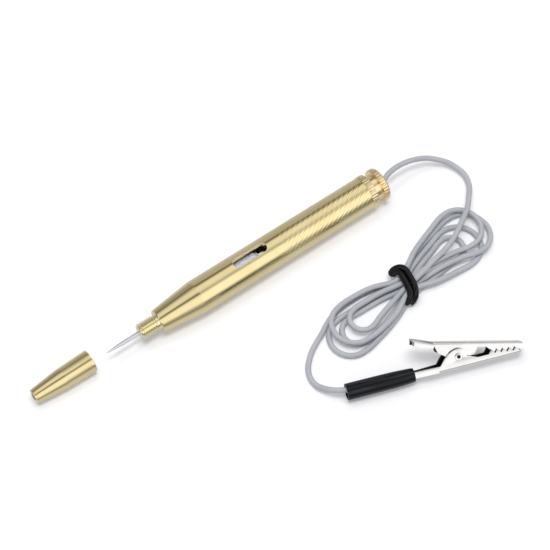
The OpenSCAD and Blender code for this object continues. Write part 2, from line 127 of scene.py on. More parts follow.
class TesterColours(bpy.types.PropertyGroup):
    """Colours of the tester's finishes"""

    brass: paint("Brass", "Polished brass of the barrel", "#F4E1A8")
    tail_brass: paint("Tail brass", "Redder brass of the tail cap", "#FBE3B0")
    cut_brass: paint("Cut brass", "Freshly cut brass of the thread", "#F8F0C8")
    nickel: paint("Nickel", "Nickel plate of the clip", "#F8F6F4")
    steel: paint("Steel", "Bright steel of the needle", "#F4F4F6")
    lead: paint("Lead", "Grey PVC of the lead", "#BBBDC1")
    tie: paint("Tie", "Black rubber of the tie", "#050506")
    sleeve: paint("Sleeve", "Black PVC of the sleeve", "#0A0B10")
    glass: paint("Glass", "Tint of the lamp's glass", "#EEF3FC")
    liner: paint("Liner", "Insulating liner", "#E2DFD6")
    copper: paint("Copper", "Conductor of the lead", "#C98B66")


def sizes():
    return bpy.context.scene.tester_sizes


def colours():
    return bpy.context.scene.tester_colours


# Modelling helpers


def deselect():
    if bpy.context.object and bpy.context.object.mode != "OBJECT":
        bpy.ops.object.mode_set(mode="OBJECT")
    bpy.ops.object.select_all(action="DESELECT")


def active():
    return bpy.context.view_layer.objects.active


def name_active(name):
    piece = active()
    piece.name = name
    piece.data.name = name
    return piece


def pick(piece):
    """Leaves one piece selected and active."""
    deselect()
    piece.select_set(True)
    bpy.context.view_layer.objects.active = piece


def edit(piece):
    """Opens a piece in edit mode with nothing selected."""
    pick(piece)
    bpy.ops.object.mode_set(mode="EDIT")
    bpy.ops.mesh.select_all(action="DESELECT")


def choose(test):
    """Selects the open mesh's vertices that pass the test."""
    bpy.ops.mesh.select_mode(type="VERT")
    bpy.ops.mesh.select_all(action="DESELECT")
    mesh = bmesh.from_edit_mesh(active().data)
    chosen = [vert for vert in mesh.verts if test(vert)]
    if not chosen:
        raise RuntimeError(f"{active().name}: no vertex is where it should be")
    for vert in chosen:
        vert.select_set(True)
    mesh.select_flush_mode()
    bmesh.update_edit_mesh(active().data)


def move(x=0.0, z=0.0):
    bpy.ops.transform.translate(value=(x, 0, z))


def resize(share, x=0.0):
    """Widens or narrows the selection round the X axis, about the place at x."""
    bpy.ops.transform.resize(value=(1, share, share), center_override=(x, 0, 0))


def merge(near=JOIN):
    """Joins the open mesh's vertices where they meet, and leaves all of it selected."""
    bpy.ops.mesh.select_all(action="SELECT")
    bpy.ops.mesh.remove_doubles(threshold=near)


def close_mesh(outward=True):
    """Merges what meets and turns the faces outwards, then leaves edit mode."""
    merge()
    if outward:
        bpy.ops.mesh.normals_make_consistent(inside=False)
    bpy.ops.object.mode_set(mode="OBJECT")


def modifier(piece, kind, **settings):
    """Adds a modifier to a piece and applies it."""
    pick(piece)
    item = piece.modifiers.new(kind.title(), kind)
    for key, value in settings.items():
        setattr(item, key, value)
    bpy.ops.object.modifier_apply(modifier=item.name)


def cut(piece, tool, how):
    """Cuts a piece with a tool, which is used up."""
    modifier(piece, "BOOLEAN", operation=how, solver="EXACT", object=tool)
    bpy.data.objects.remove(tool)


def smooth(piece, angle):
    pick(piece)
    bpy.ops.object.shade_smooth_by_angle(angle=math.radians(angle))


def apply_place():
    bpy.ops.object.transform_apply(location=True, rotation=True, scale=True)


def put(piece, place):
    """Moves a piece from its own frame to its place, and leaves its object at the origin."""
    pick(piece)
    piece.matrix_world = place
    apply_place()


def on_pen(x):
    """The place on the pen's axis at x."""
    return Matrix.Translation((x, 0, AXIS_Z))


def radius(vert):
    return math.hypot(vert.co.y, vert.co.z)


def lathe(name, profile, sides):
    """Turns (distance, radius) pairs in millimetres round the X axis: a ring is extruded and
    resized from pair to pair. A radius of 0 closes an end, and a profile that ends where it
    starts is a tube."""
    deselect()
    points = [(x * MM, r * MM) for x, r in profile]
    tip = points.pop(0) if points[0][1] == 0 else None
    end = points.pop() if points[-1][1] == 0 else None
    x, r = points[0]
    bpy.ops.mesh.primitive_circle_add(
        vertices=sides, radius=r, fill_type="TRIFAN" if tip else "NOTHING",
        location=(x, 0, 0), rotation=(0, math.pi / 2, 0),
    )
    piece = name_active(name)
    apply_place()
    edit(piece)
    if tip:
        choose(lambda v: radius(v) < TINY)
        move(x=tip[0] - x)
    choose(lambda v: radius(v) > TINY)
    for next_x, next_r in points[1:]:
        bpy.ops.mesh.extrude_region_move(TRANSFORM_OT_translate={"value": (next_x - x, 0, 0)})
        if next_r != r:
            resize(next_r / r, next_x)
        x, r = next_x, next_r
    if end:
        bpy.ops.mesh.extrude_region_move(TRANSFORM_OT_translate={"value": (end[0] - x, 0, 0)})
        bpy.ops.mesh.merge(type="CENTER")
    close_mesh()
    return piece


def turn_index(vert, count):
    """Which of count equal steps round the X axis a vertex is at."""
    return round(math.atan2(vert.co.z, vert.co.y) / (2 * math.pi) * count) % count


def sink_grooves(count, steps, middle, beside, r, test):
    """Sinks grooves round the X axis into the open mesh, so many steps apart, where its vertices
    pass the test: their middle lines by one depth, and the lines beside by another."""
    for offsets, depth in (((0,), middle), ((1, steps - 1), beside)):
        choose(lambda v: test(v) and turn_index(v, count * steps) % steps in offsets)
        resize(1 - depth / r)
    bpy.ops.object.mode_set(mode="OBJECT")


def coat(piece, material):
    """Gives a piece its finish."""
    piece.data.materials.clear()
    piece.data.materials.append(finish(material))


def finish_piece(piece, body, material, replaces=()):
    """Gives a finished piece its material and ties it to the frame."""
    coat(piece, material)
    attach(piece, body)
    if replaces:
        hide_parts(*replaces)


def turned(name, profile, sides, place, crease, material, replaces=()):
    """A piece of the tester that comes off the lathe in one go."""
    piece = lathe(name, profile, sides)
    put(piece, place)
    smooth(piece, crease)
    finish_piece(piece, "tester", material, replaces)


# Materials


def fill(tree, item, inputs):
    """Fills a node's inputs with values or with other nodes' outputs."""
    for key, value in inputs.items():
        if isinstance(value, bpy.types.NodeSocket):
            tree.links.new(value, item.inputs[key])
        else:
            item.inputs[key].default_value = value


def add(tree, kind, inputs=None, **settings):
    """Adds a shader node, sets it up and fills its inputs."""
    item = tree.nodes.new("ShaderNode" + kind)
    for key, value in settings.items():
        setattr(item, key, value)
    fill(tree, item, inputs or {})
    return item


def new_material(name):
    """Empty material: its tree, its Principled shader, and the place on the object."""
    material = bpy.data.materials.new(name)
    material.use_nodes = True
    tree = material.node_tree
    tree.nodes.clear()
    shader = add(tree, "BsdfPrincipled")
    add(tree, "OutputMaterial", {"Surface": shader.outputs["BSDF"]})
    return material, tree, shader, add(tree, "TexCoord").outputs["Object"]


def rgba(value):
    return (*value, 1.0)


def shaded(base, *shares):
    """The colour with each channel brought down or up to its share."""
    return tuple(v * share for v, share in zip(base, shares))


def mottled(tree, pattern, low, high, first, second, most=1.0):
    """The first colour, which turns to the second, or a share of it, as a pattern rises from low
    to high."""
    share = add(tree, "MapRange", {
        "Value": pattern.outputs["Fac"], "From Min": low, "From Max": high, "To Max": most,
    })
    both = {0: share.outputs["Result"], 6: rgba(first), 7: rgba(second)}
    return add(tree, "Mix", both, data_type="RGBA").outputs[2]


def grained(tree, pattern, smoothest, roughest, strength=0.0, depth=0.0):
    """Roughness that rises with a pattern, and its relief where it has a depth in millimetres."""
    height = pattern.outputs["Fac"]
    rough = add(tree, "MapRange", {
        "Value": height, "From Min": 0.3, "From Max": 0.7, "To Min": smoothest, "To Max": roughest,
    })
    surface = {"Roughness": rough.outputs["Result"]}
    if depth:
        bump = add(tree, "Bump", {"Height": height, "Strength": strength, "Distance": depth * MM})
        surface["Normal"] = bump.outputs["Normal"]
    return surface


def polished_brass(tree, place, base, tilt=0.0):
    """Free-cutting brass, turned on a lathe, polished and lacquered: crisp mirror bands under a
    clear white gleam, fine rings round the axis, and a faint brown bloom where it is handled."""
    straight = add(tree, "Mapping", {"Vector": place, "Rotation": (0, tilt, 0)}).outputs["Vector"]
    along = add(tree, "SeparateXYZ", {"Vector": straight}).outputs["X"]
    # The tool's marks are about 0.05 mm apart, and are drawn at 0.35 mm so that they show
    rings = add(
        tree, "TexNoise", {"W": along, "Scale": 1 / (0.35 * MM), "Detail": 3.0},
        noise_dimensions="1D")
    bloom = add(tree, "TexNoise", {"Vector": place, "Scale": 1 / (14 * MM), "Detail": 3.0})
    spots = add(tree, "TexNoise", {"Vector": place, "Scale": 1 / (2.2 * MM), "Detail": 5.0})
    brown = shaded(base, 0.80, 0.70, 0.52)
    rough = add(tree, "MapRange", {
        "Value": spots.outputs["Fac"], "From Min": 0.3, "From Max": 0.75,
        "To Min": 0.045, "To Max": 0.11,
    })
    bump = add(tree, "Bump", {
        "Height": rings.outputs["Fac"], "Strength": 0.08, "Distance": 0.008 * MM,
    })
    return {
        "Base Color": mottled(tree, bloom, 0.42, 0.8, base, brown, most=0.4),
        "Roughness": rough.outputs["Result"], "Normal": bump.outputs["Normal"],
        "Metallic": 1.0, "Coat Weight": 1.0, "Coat Roughness": 0.04,
    }


def plated_nickel(tree, place):
    """Spring steel sheet, pressed and nickel plated: nearly white, with a soft haze from the rolled
    sheet under the plate."""
    straight = add(tree, "Mapping", {
        "Vector": place, "Rotation": (0, 0, -CLIP_YAW), "Scale": (0.12, 1, 1),
    })
    # Rolling marks are finer than 0.1 mm, and are drawn at 0.5 mm so that they show
    rolled = add(tree, "TexNoise", {
        "Vector": straight.outputs["Vector"], "Scale": 1 / (0.5 * MM), "Detail": 4.0,
    })
    haze = add(tree, "TexNoise", {"Vector": place, "Scale": 1 / (5 * MM), "Detail": 3.0})
    base = colours().nickel
    grey = shaded(base, 0.84, 0.84, 0.84)
    return {
        "Base Color": mottled(tree, haze, 0.45, 0.8, base, grey, most=0.6), "Metallic": 1.0,
        **grained(tree, rolled, 0.12, 0.22, strength=0.12, depth=0.01),
    }


def dull_nickel(tree, place):
    """Painted shade on nickel: dark grey and rough, for the inner faces of the clip's folded
    channel and the eyelet's bore, where shade falls.
    """
    stain = add(tree, "TexNoise", {"Vector": place, "Scale": 1 / (2.5 * MM), "Detail": 4.0})
    return {
        "Base Color": mottled(tree, stain, 0.4, 0.75, linear("#33312E"), linear("#4C4843")),
        "Metallic": 1.0, **grained(tree, stain, 0.3, 0.45),
    }


def drawn_steel(tree, place):
    """Hardened steel wire, ground and bright: fine scratches along its length."""
    long = add(tree, "Mapping", {"Vector": place, "Scale": (0.05, 1, 1)}).outputs["Vector"]
    # Grinding scratches of about 0.02 mm are drawn at 0.15 mm so that they show
    scratches = add(tree, "TexNoise", {"Vector": long, "Scale": 1 / (0.15 * MM), "Detail": 2.0})
    base = colours().steel
    grey = shaded(base, 0.85, 0.85, 0.85)
    return {
        "Base Color": mottled(tree, scratches, 0.4, 0.7, base, grey, most=0.35),
        "Metallic": 1.0, **grained(tree, scratches, 0.5, 0.62),
    }


def tinned_copper(tree, place):
    """Stranded copper wire, tinned by hand with solder: dull silver with copper showing through."""
    patches = add(tree, "TexNoise", {"Vector": place, "Scale": 1 / (0.8 * MM), "Detail": 3.0})
    return {
        "Base Color": mottled(tree, patches, 0.35, 0.6, colours().copper, linear("#BDBBB6")),
        "Metallic": 1.0, "Roughness": 0.35,
    }


def extruded_pvc(tree, place):
    """Plasticised PVC, extruded over the wire: satin, faintly wavy, with dust in the grey."""
    cloud = add(tree, "TexNoise", {"Vector": place, "Scale": 1 / (9 * MM), "Detail": 2.0})
    # The die leaves marks of about 0.1 mm, drawn at 0.4 mm so that they show
    grain = add(tree, "TexNoise", {"Vector": place, "Scale": 1 / (0.4 * MM), "Detail": 3.0})
    base = colours().lead
    cool = shaded(base, 0.86, 0.88, 0.91)
    return {
        "Base Color": mottled(tree, cloud, 0.35, 0.7, base, cool), "IOR": 1.53,
        **grained(tree, grain, 0.26, 0.38, strength=0.12, depth=0.02),
    }


def moulded_rubber(tree, place, smoothest, roughest, grain_size):
    """Black rubber or soft PVC from a polished mould: deep black with a wet shine, and a slight
    grain of the given size in millimetres."""
    grain = add(tree, "TexNoise", {"Vector": place, "Scale": 1 / (grain_size * MM), "Detail": 4.0})
    base = colours().tie
    worn = tuple(v * 2.0 + 0.004 for v in base)
    return {
        "Base Color": mottled(tree, grain, 0.45, 0.75, base, worn, most=0.5),
        "IOR": 1.52, "Specular IOR Level": 0.3,
        **grained(tree, grain, smoothest, roughest, strength=0.12, depth=0.03),
    }


def stretched_pvc(tree, place):
    """Black PVC tube, pulled tight over the tang: satin, with painted highlights: paler streaks
    along it that stand in for the sheen along the tube."""
    straight = add(tree, "Mapping", {"Vector": place, "Rotation": (0, 0, -CLIP_YAW)})
    long = add(tree, "Mapping", {"Vector": straight.outputs["Vector"], "Scale": (0.06, 1, 1)})
    painted_sheen_streaks = add(tree, "TexNoise", {
        "Vector": long.outputs["Vector"], "Scale": 1 / (1.1 * MM), "Detail": 3.0,
    })
    return {
        "Base Color": mottled(tree, painted_sheen_streaks, 0.48, 0.66, colours().sleeve, linear("#242A31")),
        "IOR": 1.52, "Specular IOR Level": 0.25,
        **grained(tree, painted_sheen_streaks, 0.16, 0.34, strength=0.2, depth=0.05),
    }


def blown_glass(tree, place):
    """Soda-lime glass tube, blown and etched inside: pale bluish white, with a soft gleam."""
    etch = add(tree, "TexNoise", {"Vector": place, "Scale": 1 / (1.6 * MM), "Detail": 3.0})
    return {
        "Base Color": mottled(tree, etch, 0.35, 0.7, colours().glass, linear("#E2DDF2")),
        "Transmission Weight": 0.22, "IOR": 1.5, **grained(tree, etch, 0.10, 0.25),
    }


def extruded_liner(tree, place):
    """Natural polythene tube: waxy off-white."""
    cloud = add(tree, "TexNoise", {"Vector": place, "Scale": 1 / (3 * MM), "Detail": 2.0})
    base = colours().liner
    return {
        "Base Color": mottled(tree, cloud, 0.35, 0.7, base, shaded(base, 0.9, 0.9, 0.9)),
        "Roughness": 0.45,
    }


MATERIALS = {}


def finish(name):
    """The finish of that name, made once."""
    finishes = {  # its material's name, what makes it and what that needs to know
        "brass": ("polished_brass", polished_brass, colours().brass),
        "cut_brass": ("cut_brass", polished_brass, colours().cut_brass),
        "cap_brass": ("polished_cap_brass", polished_brass, colours().brass, CAP_TILT),
        "tail_brass": ("polished_tail_brass", polished_brass, colours().tail_brass),
        "nickel": ("plated_nickel", plated_nickel),
        "dull_nickel": ("dull_nickel", dull_nickel),
        "steel": ("drawn_steel", drawn_steel),
        "copper": ("tinned_copper", tinned_copper),
        "lead": ("extruded_pvc", extruded_pvc),
        "tie": ("polished_rubber", moulded_rubber, 0.07, 0.14, 0.6),
        "sleeve": ("stretched_pvc", stretched_pvc),
        "bush": ("moulded_bush", moulded_rubber, 0.3, 0.45, 0.5),
        "glass": ("blown_glass", blown_glass),
        "liner": ("extruded_liner", extruded_liner),
    }
    if name not in MATERIALS:
        material_name, maker, *values = finishes[name]
        material, tree, shader, place = new_material(material_name)
        fill(tree, shader, maker(tree, place, *values))
        MATERIALS[name] = material
    return MATERIALS[name]


# Stage: camera, floor, world and lamps

CAMERA_AZIMUTH = math.radians(-35.726)
CAMERA_ELEVATION = math.radians(60.5)
CAMERA_DISTANCE = 650 * MM
CAMERA_TARGET = Vector((22.008, -5.734, 0)) * MM
PIXELS_PER_MM = 2.841  # at the target
SENSOR = 36
FLOOR_R, FLOOR_RIM = 1.4, 0.1  # metres

# Softboxes as polished metal sees them: degrees round the pen's axis from the far side over the top
# to the near side, and brightness. The level bands lie towards the pen's tail, where its straight
# surfaces look, and the steep bands are what the tapers see
LEVEL_BANDS = [
    (0, 0.51), (33, 0.48), (39, 0.26), (43, 0.19), (49, 0.19), (53, 0.38), (58, 0.70), (65, 0.92),
    (86, 0.93), (94, 0.80), (101, 0.64), (105, 0.52), (108, 0.52), (113, 0.76), (119, 1.05),
    (125, 1.17), (156, 1.17), (162, 1.04), (168, 0.78), (173, 0.42), (177, 0.27), (180, 0.26),
]
STEEP_BANDS = [
    (0, 0.37), (25, 0.35), (34, 0.24), (38, 0.18), (43, 0.20), (50, 0.40), (59, 0.68), (69, 0.83),
    (78, 0.88), (88, 0.84), (94, 0.62), (99, 0.32), (102, 0.20), (106, 0.20), (109, 0.38),
    (113, 0.66), (119, 0.96), (127, 1.08), (154, 1.08), (161, 0.98), (168, 0.66), (174, 0.48),
    (180, 0.48),
]
# The X part of a direction where the steep bands end and the level ones begin
STEEP_END, LEVEL_START = 0.12, 0.24
# The world's even light on matt surfaces
FILL = (0.45, 0.45, 0.465)
# Each softbox: its name, place in metres, long side, short side and power in watts
SOFTBOXES = [
    ("softbox", (0, -0.14, 1.45), 0.85, 0.36, 9.6),
    ("far_softbox", (0, 0.45, 1.3), 0.9, 0.5, 3.6),
]
# What the paper gives off to the camera, and to polished metal close by as a painted reflection
PAPER_GLOW, MIRRORED_GLOW = 0.125, 0.36
# Distances in millimetres between which the painted reflection of the paper darkens, the half width
# of the strip under the pen over which that lessens towards the far side, and what is left of it
# there
MIRRORED_NEAR, MIRRORED_FAR = 12, 32
STRIP_HALF, FAR_SIDE_SHARE = 5, 0.35


def set_ramp(ramp, bands):
    """Fills a colour ramp from (degrees, brightness) pairs over half a turn."""
    marks = ramp.color_ramp.elements
    for mark, (degrees, _) in zip(marks, (bands[0], bands[-1])):
        mark.position = degrees / 180
    for degrees, _ in bands[1:-1]:
        marks.new(degrees / 180)
    for mark, (degrees, level) in zip(marks, bands):
        mark.position = degrees / 180
        mark.color = (level, level, level, 1)


class TESTER_OT_stage(bpy.types.Operator):
    """Adds the camera, the pale floor, the studio world and the lamps"""

    bl_idname = "tester.stage"
    bl_label = "Stage"

    def execute(self, context):
        self.camera(context)
        self.floor()
        self.world(context)
        self.lamps()
        context.scene.view_settings.view_transform = "Standard"
        return {"FINISHED"}

    def camera(self, context):
        flat = math.cos(CAMERA_ELEVATION)
        back = Vector((
            math.sin(CAMERA_AZIMUTH) * flat, -math.cos(CAMERA_AZIMUTH) * flat,
            math.sin(CAMERA_ELEVATION),
        ))
        deselect()
        bpy.ops.object.camera_add(
            location=CAMERA_TARGET + back * CAMERA_DISTANCE,
            rotation=(-back).to_track_quat("-Z", "Y").to_euler(),
        )
        camera = name_active("camera")
        camera.data.sensor_width = SENSOR
        camera.data.lens = SENSOR * PIXELS_PER_MM * (CAMERA_DISTANCE / MM) / PHOTO_SIDE
        context.scene.camera = camera

    def floor(self):
        """A disc whose rim is rolled down, so that its edge stays out of sight."""
        deselect()
        bpy.ops.mesh.primitive_circle_add(
            vertices=64, radius=FLOOR_R, fill_type="NGON", location=(0, 0, 0))
        floor = name_active("floor")
        edit(floor)
        bpy.ops.mesh.select_all(action="SELECT")
        bpy.ops.mesh.inset(thickness=FLOOR_RIM, depth=0.0)
        choose(lambda v: v.co.xy.length > FLOOR_R - FLOOR_RIM / 2)
        move(z=-FLOOR_RIM / 2)
        close_mesh()
        floor.data.materials.append(self.paper())

    def paper(self):
        """Matt white paper that keeps the soft shadow of what lies on it. For polished metal it
        carries a painted reflection: it glows white close by and is painted dark further off."""
        material, tree, shader, place = new_material("white_paper")
        # Fibres of about 0.1 mm are drawn as flecks of 1.5 mm
        fibre = add(tree, "TexNoise", {"Vector": place, "Scale": 1 / (1.5 * MM), "Detail": 4.0})
        white = add(tree, "Mix", {
            0: fibre.outputs["Fac"], 6: rgba(linear("#EFEFF2")), 7: rgba(linear("#F5F5F6")),
        }, data_type="RGBA").outputs[2]
        path = add(tree, "LightPath").outputs
        glossy = path["Is Glossy Ray"]
        # Painted reflection: for polished metal the paper glows close by, and the glow fades with
        # distance
        far = add(tree, "MapRange", {
            "Value": path["Ray Length"],
            "From Min": MIRRORED_NEAR * MM, "From Max": MIRRORED_FAR * MM,
        })
        across = add(tree, "SeparateXYZ", {"Vector": place}).outputs["Y"]
        aside = add(tree, "MapRange", {
            "Value": across, "From Min": -STRIP_HALF * MM, "From Max": STRIP_HALF * MM,
            "To Min": 1.0, "To Max": FAR_SIDE_SHARE,
        })
        fade = add(
            tree, "Math", {0: far.outputs["Result"], 1: aside.outputs["Result"]},
            operation="MULTIPLY")
        near = add(tree, "Math", {0: 1.0, 1: fade.outputs[0]}, operation="SUBTRACT")
        mirrored = add(tree, "Math", {0: near.outputs[0], 1: MIRRORED_GLOW}, operation="MULTIPLY")
        metal = add(tree, "Math", {0: mirrored.outputs[0], 1: glossy}, operation="MULTIPLY")
        direct = add(
            tree, "Math", {0: path["Is Camera Ray"], 1: path["Is Transmission Ray"]},
            operation="MAXIMUM")
        glow = add(
            tree, "Math", {0: direct.outputs[0], 1: PAPER_GLOW, 2: metal.outputs[0]},
            operation="MULTIPLY_ADD")
        # Polished metal sees the paper painted a darker grey, part of its painted reflection
        colour = add(
            tree, "Mix", {0: glossy, 6: white, 7: rgba(linear("#959595"))}, data_type="RGBA")
        fill(tree, shader, {
            "Base Color": colour.outputs[2], "Emission Color": (1, 1, 1, 1),
            "Emission Strength": glow.outputs[0], "Roughness": 0.9, "Specular IOR Level": 0.0,
        })
        return material

    def world(self, context):
        """White behind the floor; even grey light on matt surfaces; and for polished metal a studio
        of two long softboxes over the pen, with narrow gaps beside them and a grey room around."""
        world = bpy.data.worlds.new("studio")
        world.use_nodes = True
        tree = world.node_tree
        tree.nodes.clear()
        way = add(tree, "TexCoord").outputs["Generated"]
        parts = add(tree, "SeparateXYZ", {"Vector": way}).outputs
        height = add(tree, "Math", {0: parts["Z"]}, operation="ABSOLUTE")
        turn = add(tree, "Math", {0: height.outputs[0], 1: parts["Y"]}, operation="ARCTAN2")
        share = add(tree, "MapRange", {"Value": turn.outputs[0], "From Max": math.pi})
        level = add(tree, "ValToRGB", {"Fac": share.outputs["Result"]})
        set_ramp(level, LEVEL_BANDS)
        steep = add(tree, "ValToRGB", {"Fac": share.outputs["Result"]})
        set_ramp(steep, STEEP_BANDS)
        ahead = add(tree, "MapRange", {
            "Value": parts["X"], "From Min": STEEP_END, "From Max": LEVEL_START,
        })
        ramp = add(tree, "Mix", {
            0: ahead.outputs["Result"], 6: steep.outputs["Color"], 7: level.outputs["Color"],
        }, data_type="RGBA")
        path = add(tree, "LightPath").outputs
        direct = add(
            tree, "Math", {0: path["Is Camera Ray"], 1: path["Is Transmission Ray"]},
            operation="MAXIMUM")
        plain = add(
            tree, "Mix", {0: direct.outputs[0], 6: rgba(FILL), 7: (1, 1, 1, 1)}, data_type="RGBA")
        mixed = add(tree, "Mix", {
            0: path["Is Glossy Ray"], 6: plain.outputs[2], 7: ramp.outputs[2],
        }, data_type="RGBA")
        back = add(tree, "Background", {"Color": mixed.outputs[2], "Strength": 1.0})
        add(tree, "OutputWorld", {"Surface": back.outputs[0]})
        context.scene.world = world

    def lamps(self):
        """Softboxes over the pen and behind it, long along it. Metal sees the world's instead."""
        for name, place, long, short, power in SOFTBOXES:
            deselect()
            bpy.ops.object.light_add(type="AREA", location=place)
            lamp = name_active(name)
            lamp.rotation_euler = (-Vector(place)).to_track_quat("-Z", "Y").to_euler()
            lamp.data.shape = "RECTANGLE"
            lamp.data.size = long
            lamp.data.size_y = short
            lamp.data.energy = power
            lamp.visible_glossy = False


# Lead

# The points of the lead's middle line, in millimetres, as it leaves the pen
FROM_PEN = [
    (72.88, 0, 6.3), (74.2, 0.15, 6.6), (76.6, 0.9, 7.4), (79.8, 1.4, 7.6), (84.13, 1.5, 7.1),
    (88.85, 0.95, 6), (93.2, -0.45, 4.8), (96.7, -2.65, 3.5), (99.35, -5.3, 2.5),
    (101.05, -9.05, 1.9), (101.45, -13.05, 1.8), (100.15, -16.96, 1.8), (96.25, -21.56, 3.3),
    (91.45, -26.16, 5.1),
]
# and as it comes to the clip's sleeve
TO_CLIP = [
    (24.75, -32.56, 1), (21.25, -34.56, 1), (17.85, -36.16, 1), (14.55, -37.96, 1),
    (11.45, -40.36, 1), (9.05, -43.16, 1), (7.85, -46.16, 1.05), (7.75, -49.16, 1.4),
    (8.75, -51.96, 2.2), (10.75, -54.86, 3.1), (13.65, -57.36, 3.8), (18.05, -59.56, 3.7),
    (22.25, -61.36, 3.52),
]
# The hank has its own frame, with its middle at the tie and x along its runs
HANK_PLACE = Matrix.Translation((55.25, -36.76, 0)) @ Matrix.Rotation(math.radians(6.5), 4, "Z")
LEAD_IN = [(31.5, 3.8, 4.9), (25.7, 1.4, 4.6), (19.5, 0, 4.8), (13.2, -0.6, 5.1), (6, -1.4, 5.1)]
LEAD_OUT = [(-6.5, 6.2, 1), (-13, 8, 1), (-19.8, 8.9, 1), (-25.2, 8.8, 1)]
TOP, LOW = 3.05, 1.0  # heights of the two layers of runs
# Where each run passes the tie, in order: aside and up
LANES = [
    (-1.05, TOP), (1.05, TOP), (3.15, TOP), (-3.15, TOP), (2.1, LOW), (-4.2, LOW), (0, LOW),
    (-2.1, LOW), (4.2, LOW),
]
# Each fold: its side, its reach, the height of its tip, then for both flanks the widest place
# aside, the height there and the bow of the run
FOLDS = [
    (-1, 24.3, TOP, (-4.4, TOP, -0.3), (4.8, TOP, 0.8)),
    (1, 38.3, TOP, (-4.7, TOP, -0.6), (11.2, TOP, 0.5)),
    (-1, 31.0, TOP, (9.0, TOP, 1.0), (-7.0, TOP, 1.5)),
    (1, 34.0, LOW, (-9.2, 1.2, 0.6), (7.3, LOW, 0.4)),
    (-1, 34.4, LOW, (6.2, LOW, 0.6), (-8.9, LOW, 0.9)),
    (1, 28.0, LOW, (-4.4, LOW, 0.3), (4.9, LOW, 0.2)),
    (-1, 29.0, LOW, (4.0, LOW, 0.4), (-6.5, LOW, 0.8)),
    (1, 39.8, 1.1, (-8.4, TOP, -0.9), (9.7, LOW, 0.65)),
]
STATIONS = (0.42, 0.72, 1.0)  # shares of a flank's length
HANDLE_SHARE = 0.345  # of the way to the next point, which rounds a turn like a circle


def flank(lane, side, reach, flank_shape, middle, half, tip_z):
    """One run from the tie to the fold's round end, in the hank's frame."""
    aside, up, bow = flank_shape
    lane_y, lane_z = lane
    fade = STATIONS[0] if up > lane_z else 1.0
    points = []
    for share in STATIONS:
        sweep = share + bow * share * (1 - share)
        points.append((
            side * (reach - half) * share,
            lane_y + (aside - lane_y) * sweep,
            lane_z + (up - lane_z) * min(1, share / fade),
        ))
    for angle in (60, 30):
        sine, cosine = math.sin(math.radians(angle)), math.cos(math.radians(angle))
        points.append((
            side * (reach - half * (1 - cosine)),
            middle + (aside - middle) * sine,
            tip_z + (up - tip_z) * angle / 90,
        ))
    return points


def fold(index):
    """The points of one fold, from lane to lane."""
    side, reach, tip_z, first, second = FOLDS[index]
    middle = (first[0] + second[0]) / 2
    half = abs(first[0] - second[0]) / 2
    there = flank(LANES[index], side, reach, first, middle, half, tip_z)
    back = flank(LANES[index + 1], side, reach, second, middle, half, tip_z)
    return there + [(side * reach, middle, tip_z)] + back[::-1]


def lead_points():
    """The lead's whole route in metres: out of the pen, four times to and fro, and to the clip."""
    hank = list(LEAD_IN)
    for index in range(len(FOLDS)):
        hank.append((0, *LANES[index]))
        hank += fold(index)
    hank.append((0, *LANES[-1]))
    hank += LEAD_OUT
    placed = [HANK_PLACE @ Vector(p) for p in hank]
    return [Vector(p) * MM for p in (*FROM_PEN, *placed, *TO_CLIP)]


def laid_tube(name, points, diameter, resolution=5, closed=False):
    """A round cord on one smooth curve through the points."""
    deselect()
    bpy.ops.curve.primitive_bezier_curve_add(location=(0, 0, 0))
    cord = name_active(name)
    curve = cord.data
    curve.dimensions = "3D"
    curve.splines.clear()
    spline = curve.splines.new("BEZIER")
    last = len(points) - 1
    spline.bezier_points.add(last)
    for i, (spot, place) in enumerate(zip(spline.bezier_points, points)):
        before = place - points[i - 1] if i or closed else points[1] - place
        after = points[(i + 1) % len(points)] - place if i < last or closed else before
        way = (before.normalized() + after.normalized()).normalized()
        spot.handle_left_type = "FREE"
        spot.handle_right_type = "FREE"
        spot.co = place
        spot.handle_left = place - way * before.length * HANDLE_SHARE
        spot.handle_right = place + way * after.length * HANDLE_SHARE
    spline.use_cyclic_u = closed
    curve.resolution_u = 8
    curve.bevel_mode = "ROUND"
    curve.bevel_depth = diameter / 2
    curve.bevel_resolution = resolution
    curve.use_fill_caps = not closed
    return cord


class TESTER_OT_lead(bpy.types.Operator):
    """Lays the lead from the tail cap, in its tied hank, to the clip's sleeve"""

    bl_idname = "tester.lead"
    bl_label = "Lead"

    def execute(self, context):
        lead = laid_tube("lead", lead_points(), sizes().lead_diameter)
        finish_piece(
            lead, "tester", "lead", ("lead_from_pen", "lead_hank", "lead_to_clip"))
        return {"FINISHED"}


# Barrel

RIM_SUNK = 0.6  # how deep the rim's middle line lies in the wall, as a share of its radius


